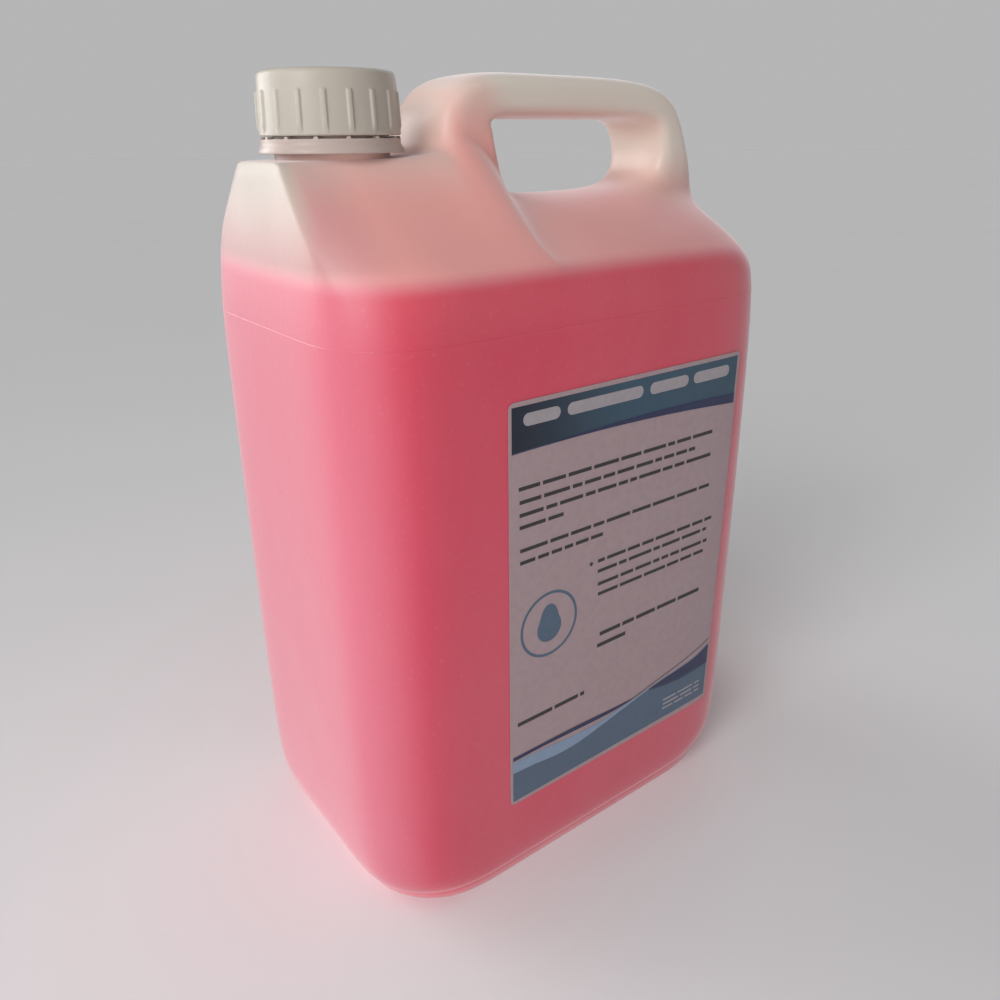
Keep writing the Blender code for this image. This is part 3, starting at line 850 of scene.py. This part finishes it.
def make_sheet(tree):
    """The paper, with rounded corners."""
    bm = bmesh.new()
    r = LABEL_CORNER_R
    near = [0.0, 0.08, 0.3, 0.65, 1.1, 1.7, r]
    middle = [r + (LABEL_LENGTH - 2 * r) * k / 50 for k in range(1, 50)]
    places = near + middle + [LABEL_LENGTH - d for d in reversed(near)]
    columns = len(places) - 1
    sheets = []
    for distance in (PAPER_BACK, PAPER_FRONT):
        rows = []
        for d in places:
            u = d / LABEL_LENGTH
            trim = corner_trim(min(d, LABEL_LENGTH - d), r) / LABEL_HEIGHT
            rows.append([bm.verts.new(label_point(tree, u, v, distance)) for v in (trim, 0.5, 1 - trim)])
        sheets.append(rows)
    back, front = sheets
    for rows in sheets:
        for one, two in zip(rows, rows[1:]):
            for j in (0, 1):
                bm.faces.new((one[j], two[j], two[j + 1], one[j + 1]))
    for j in (0, 2):
        for k in range(columns):
            bm.faces.new((back[k][j], back[k + 1][j], front[k + 1][j], front[k][j]))
    for k in (0, columns):
        for j in (0, 1):
            bm.faces.new((back[k][j], back[k][j + 1], front[k][j + 1], front[k][j]))
    sheet = object_from("label_sheet", bm, [PAPER], 30)
    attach(sheet, "pack")
    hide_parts("front_label")


class Print:
    """Printed shapes on the label, as thin closed films of ink."""

    def __init__(self, tree):
        self.tree = tree
        self.bm = bmesh.new()
        self.inks = []

    def ink(self, material):
        if material not in self.inks:
            self.inks.append(material)
        return self.inks.index(material)

    def film(self, top, bottom, number, material, layer):
        """A strip between two runs of (u, v) places of equal length."""
        index = self.ink(material)
        faces = []
        high = PAPER_FRONT + INK_STEP * layer
        levels = []
        for distance in (high - INK_THICK, high):
            upper = [self.bm.verts.new(label_point(self.tree, u, v, distance)) for u, v in top]
            lower = [self.bm.verts.new(label_point(self.tree, u, v, distance)) for u, v in bottom]
            levels.append((upper, lower))
        (ub, lb), (uf, lf) = levels
        for k in range(number):
            faces.append(self.bm.faces.new((lf[k], lf[k + 1], uf[k + 1], uf[k])))
            faces.append(self.bm.faces.new((lb[k], ub[k], ub[k + 1], lb[k + 1])))
            faces.append(self.bm.faces.new((uf[k], uf[k + 1], ub[k + 1], ub[k])))
            faces.append(self.bm.faces.new((lf[k + 1], lf[k], lb[k], lb[k + 1])))
        for k in (0, number):
            faces.append(self.bm.faces.new((lf[k], uf[k], ub[k], lb[k])))
        for face in faces:
            face.material_index = index

    def band(self, u0, u1, low, high, material, layer, columns):
        """A field between two edges, each a height or a function of u."""
        def at(edge, u):
            return edge(u) if callable(edge) else edge

        places = [u0 + (u1 - u0) * k / columns for k in range(columns + 1)]
        self.film([(u, at(high, u)) for u in places], [(u, at(low, u)) for u in places], columns, material, layer)

    def pill(self, u0, u1, v, height, material, layer):
        """A bar with round ends."""
        ratio = LABEL_HEIGHT / LABEL_LENGTH
        half = height / 2
        top = []
        for k in range(8):
            turn = math.radians(12 + 78 * k / 7)
            top.append((u0 + half * ratio * (1 - math.cos(turn)), v + half * math.sin(turn)))
        start, high = top[-1]
        middle = [(start + (u0 + u1 - 2 * start) * k / 12, high) for k in range(1, 12)]
        top += middle + [(u0 + u1 - u, w) for u, w in reversed(top)]
        bottom = [(u, 2 * v - w) for u, w in top]
        self.film(top, bottom, len(top) - 1, material, layer)

    def words(self, u0, u1, v, height, material, lengths=(0.03, 0.11), layer=1):
        """A line of plain bars with word-like gaps."""
        u = u0
        while u < u1 - 0.012:
            width = random.uniform(*lengths)
            end = min(u + width, u1)
            if u1 - end < 0.02:
                end = u1
            self.band(u, end, v - height / 2, v + height / 2, material, layer, 2)
            u = end + 0.011

    def disc(self, u, v, radius, material, layer=1, hole=0.0, shape=None, steps=48):
        """A round field, a ring if it has a hole, or another shape given as a reach for each turn."""
        ratio = LABEL_LENGTH / LABEL_HEIGHT
        outer, inner = [], []
        for k in range(steps + 1):
            turn = 2 * math.pi * k / steps
            reach = radius * (shape(turn) if shape else 1.0)
            outer.append((u + reach * math.cos(turn), v + reach * ratio * math.sin(turn)))
            inner.append((u + hole * math.cos(turn), v + hole * ratio * math.sin(turn)))
        self.film(outer, inner, steps, material, layer)


def curve(a, b, c):
    """A height over u that is a quadratic curve."""
    return lambda u: a * u * u + b * u + c


def through(*places):
    """A smooth height over u that passes through the given (u, height) places."""
    def height(u):
        k = 0
        while k < len(places) - 2 and u > places[k + 1][0]:
            k += 1
        (u1, v1), (u2, v2) = places[k], places[k + 1]
        u0, v0 = places[k - 1] if k else (2 * u1 - u2, 2 * v1 - v2)
        u3, v3 = places[k + 2] if k + 2 < len(places) else (2 * u2 - u1, 2 * v2 - v1)
        span = u2 - u1
        lean_1 = (v2 - v0) / (u2 - u0) * span
        lean_2 = (v3 - v1) / (u3 - u1) * span
        t = (u - u1) / span
        return ((2 * t ** 3 - 3 * t ** 2 + 1) * v1 + (t ** 3 - 2 * t ** 2 + t) * lean_1
                + (3 * t ** 2 - 2 * t ** 3) * v2 + (t ** 3 - t ** 2) * lean_2)

    return height


def make_print(tree):
    """The bare header, plain bars for the text, a drop in a ring for the sign, and the swoosh at the bottom."""
    p = Print(tree)
    left, right = 0.011, 0.986
    head_low = curve(-0.045, 0.0243, 0.893)
    head_line = curve(-0.1131, 0.1435, 0.8573)
    p.band(left, right, head_low, 0.990, SLATE, 1, 60)
    p.band(left, right, head_low, lambda u: max(head_low(u) + 0.003, head_line(u) - 0.003), DEEP, 2, 60)
    p.band(0.14, right, head_low, lambda u: head_low(u) + 0.001 + 0.027 * (u - 0.12), NAVY, 3, 40)
    for u0, u1 in ((0.052, 0.190), (0.217, 0.530), (0.560, 0.738), (0.763, 0.943)):
        p.pill(u0, u1, 0.960, 0.027, PALE, 2)

    small, large, tiny = 0.0086, 0.0105, 0.005
    for u0, u1, v in ((0.036, 0.884, 0.815), (0.039, 0.80, 0.785), (0.039, 0.885, 0.756), (0.039, 0.21, 0.728),
                      (0.041, 0.893, 0.674), (0.041, 0.381, 0.645)):
        p.words(u0, u1, v, small, DARK)
    p.disc(0.335, 0.578, 0.007, DARK)
    for u0, u1, v in ((0.364, 0.925, 0.579), (0.365, 0.90, 0.552), (0.368, 0.91, 0.518), (0.37, 0.894, 0.491)):
        p.words(u0, u1, v, small, DARK)
    p.words(0.386, 0.891, 0.378, large, DARK, (0.05, 0.11))
    p.words(0.376, 0.511, 0.347, large, DARK, (0.12, 0.13))
    p.words(0.031, 0.323, 0.229, large, DARK, (0.1, 0.15))

    def drop(turn):
        up = math.sin(turn)
        return 1.0 + 0.75 * max(0.0, up) ** 6

    p.disc(0.16, 0.467, 0.118, BAND, 1, 0.108)
    p.disc(0.16, 0.457, 0.050, BAND, 1, 0.0, drop, 64)

    field = through((0.01, 0.096), (0.1, 0.0925), (0.2, 0.0845), (0.3, 0.086), (0.4, 0.0985), (0.5, 0.1135),
                    (0.6, 0.128), (0.7, 0.1405), (0.8, 0.149), (0.9, 0.160), (0.99, 0.182))
    glow = through((0.01, 0.1266), (0.1, 0.1245), (0.2, 0.119), (0.3, 0.114), (0.4, 0.1135), (0.5, 0.122),
                   (0.6, 0.1318), (0.7, 0.1425), (0.8, 0.151), (0.9, 0.162), (0.99, 0.184))
    wedge = through((0.64, 0.1335), (0.705, 0.1301), (0.76, 0.1267), (0.84, 0.1252), (0.92, 0.1261), (0.99, 0.1247))
    stroke_top = through((0.01, 0.1409), (0.13, 0.1408), (0.26, 0.1402), (0.36, 0.1382), (0.45, 0.1352),
                         (0.53, 0.1338), (0.577, 0.1336))
    stroke_low = through((0.01, 0.1306), (0.13, 0.1312), (0.26, 0.1284), (0.36, 0.1257), (0.45, 0.1247),
                         (0.53, 0.1276), (0.577, 0.1322))
    rise = through((0.577, 0.1333), (0.64, 0.1425), (0.717, 0.1531), (0.793, 0.1630), (0.91, 0.1824), (0.989, 0.1999))
    p.band(left, right, lambda u: 0.0095 + 0.006 * u, field, BAND, 1, 60)
    p.band(left, right, lambda u: field(u) - 0.001, glow, SKY, 2, 60)
    p.band(0.655, right, lambda u: wedge(u) - 0.22 * (u - 0.64) * (1.05 - u), field, DEEP, 3, 30)
    p.band(0.665, right, wedge, field, NAVY, 4, 30)
    p.band(left, 0.577, stroke_low, stroke_top, NAVY, 3, 40)
    p.band(0.577, right, lambda u: rise(u) - 0.0010, lambda u: rise(u) + 0.0012, GREY, 4, 30)
    for v in (0.072, 0.058, 0.044):
        p.words(0.74, 0.95, v, tiny, PALE, (0.04, 0.09), 2)
    obj = object_from("label_print", p.bm, p.inks, 30)
    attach(obj, "pack")


skin_tree = make_bottle()
thread = helix("neck_thread", NECK_R, False, THREAD_Z, PLASTIC)
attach(thread, "pack")
make_seam(skin_tree)
make_cap()
inner_thread = helix("cap_thread", CAP_BORE_R, True, THREAD_Z - THREAD_PITCH / 2, WHITE)
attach(inner_thread, "cap")
make_ring()
make_sheet(skin_tree)
make_print(skin_tree)
for node, material in (("cap_liner", FOAM), ("soap_fill", SOAP)):
    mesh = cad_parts[node].data
    mesh.materials.clear()
    mesh.materials.append(material)


# Camera, floor and light


def make_camera():
    """The photograph's camera, found by fitting it to the pack's edges, with its place in metres."""
    yaw, pitch, roll = 0.642, 0.407, -0.011
    stand = (-0.1917, -0.25614, 0.26735)
    ahead = Vector((math.sin(yaw) * math.cos(pitch), math.cos(yaw) * math.cos(pitch), -math.sin(pitch)))
    right = Vector((math.cos(yaw), -math.sin(yaw), 0.0))
    up = right.cross(ahead)
    level = right * math.cos(roll) + up * math.sin(roll)
    tilt = up * math.cos(roll) - right * math.sin(roll)
    data = bpy.data.cameras.new("camera")
    data.sensor_fit = "HORIZONTAL"
    data.sensor_width = 36.0
    data.lens = 30.11
    data.clip_start = 0.01
    data.clip_end = 100.0
    camera = bpy.data.objects.new("camera", data)
    scene.collection.objects.link(camera)
    turn = Matrix((level, tilt, -ahead)).transposed().to_4x4()
    camera.matrix_world = Matrix.Translation(stand) @ turn
    scene.camera = camera


def make_floor():
    """A plain pale floor out to the horizon."""
    bm = bmesh.new()
    bmesh.ops.create_circle(bm, cap_ends=True, segments=96, radius=20000.0)
    n = Nodes("floor_paper")
    n.set(roughness=0.85, specular=0.2)
    place = n.place()
    base = n.mix(n.range(n.noise(place, 3.0, 2.0), 0.3, 0.7), (0.93, 0.93, 0.94), (0.95, 0.95, 0.96))
    floor = object_from("floor", bm, [n.finish(base)])


def make_light():
    """A soft sky that the camera sees as pale as the floor, three soft suns and two near panels."""
    sky, seen_sky = 0.235, 0.582
    world = bpy.data.worlds.new("studio")
    scene.world = world
    world.use_nodes = True
    tree = world.node_tree
    background = tree.nodes["Background"]
    background.inputs["Color"].default_value = (1.0, 1.0, 1.0, 1.0)
    background.inputs["Strength"].default_value = sky
    seen = tree.nodes.new("ShaderNodeBackground")
    seen.inputs["Color"].default_value = (0.80, 0.80, 0.81, 1.0)
    seen.inputs["Strength"].default_value = seen_sky
    path = tree.nodes.new("ShaderNodeLightPath")
    mix = tree.nodes.new("ShaderNodeMixShader")
    tree.links.new(path.outputs["Is Camera Ray"], mix.inputs["Fac"])
    tree.links.new(background.outputs[0], mix.inputs[1])
    tree.links.new(seen.outputs[0], mix.inputs[2])
    tree.links.new(mix.outputs[0], tree.nodes["World Output"].inputs["Surface"])

    def lamp(name, kind, energy, to_light):
        data = bpy.data.lights.new(name, kind)
        data.energy = energy
        obj = bpy.data.objects.new(name, data)
        scene.collection.objects.link(obj)
        obj.rotation_euler = Vector(to_light).to_track_quat("Z", "Y").to_euler()
        return obj

    def sun(name, energy, angle, to_light):
        lamp(name, "SUN", energy, to_light).data.angle = math.radians(angle)

    def panel(name, energy, place, aim):
        obj = lamp(name, "AREA", energy, Vector(place) - Vector(aim))
        obj.data.shape = "SQUARE"
        obj.data.size = 0.3
        obj.location = place
        obj.visible_glossy = False

    sun("key", 1.0, 35, (-0.83, -0.29, 0.34))
    sun("rim", 1.5, 40, (-0.50, 0.85, 0.20))
    sun("fill", 0.45, 60, (0.80, 0.57, 0.20))
    panel("side", 0.52, (-0.40, -0.32, 0.24), (0, 0, 0.16))
    panel("top", 0.5, (-0.33, -0.06, 0.62), (-0.02, 0, 0.26))


make_camera()
make_floor()
make_light()
scene.view_settings.view_transform = "Standard"
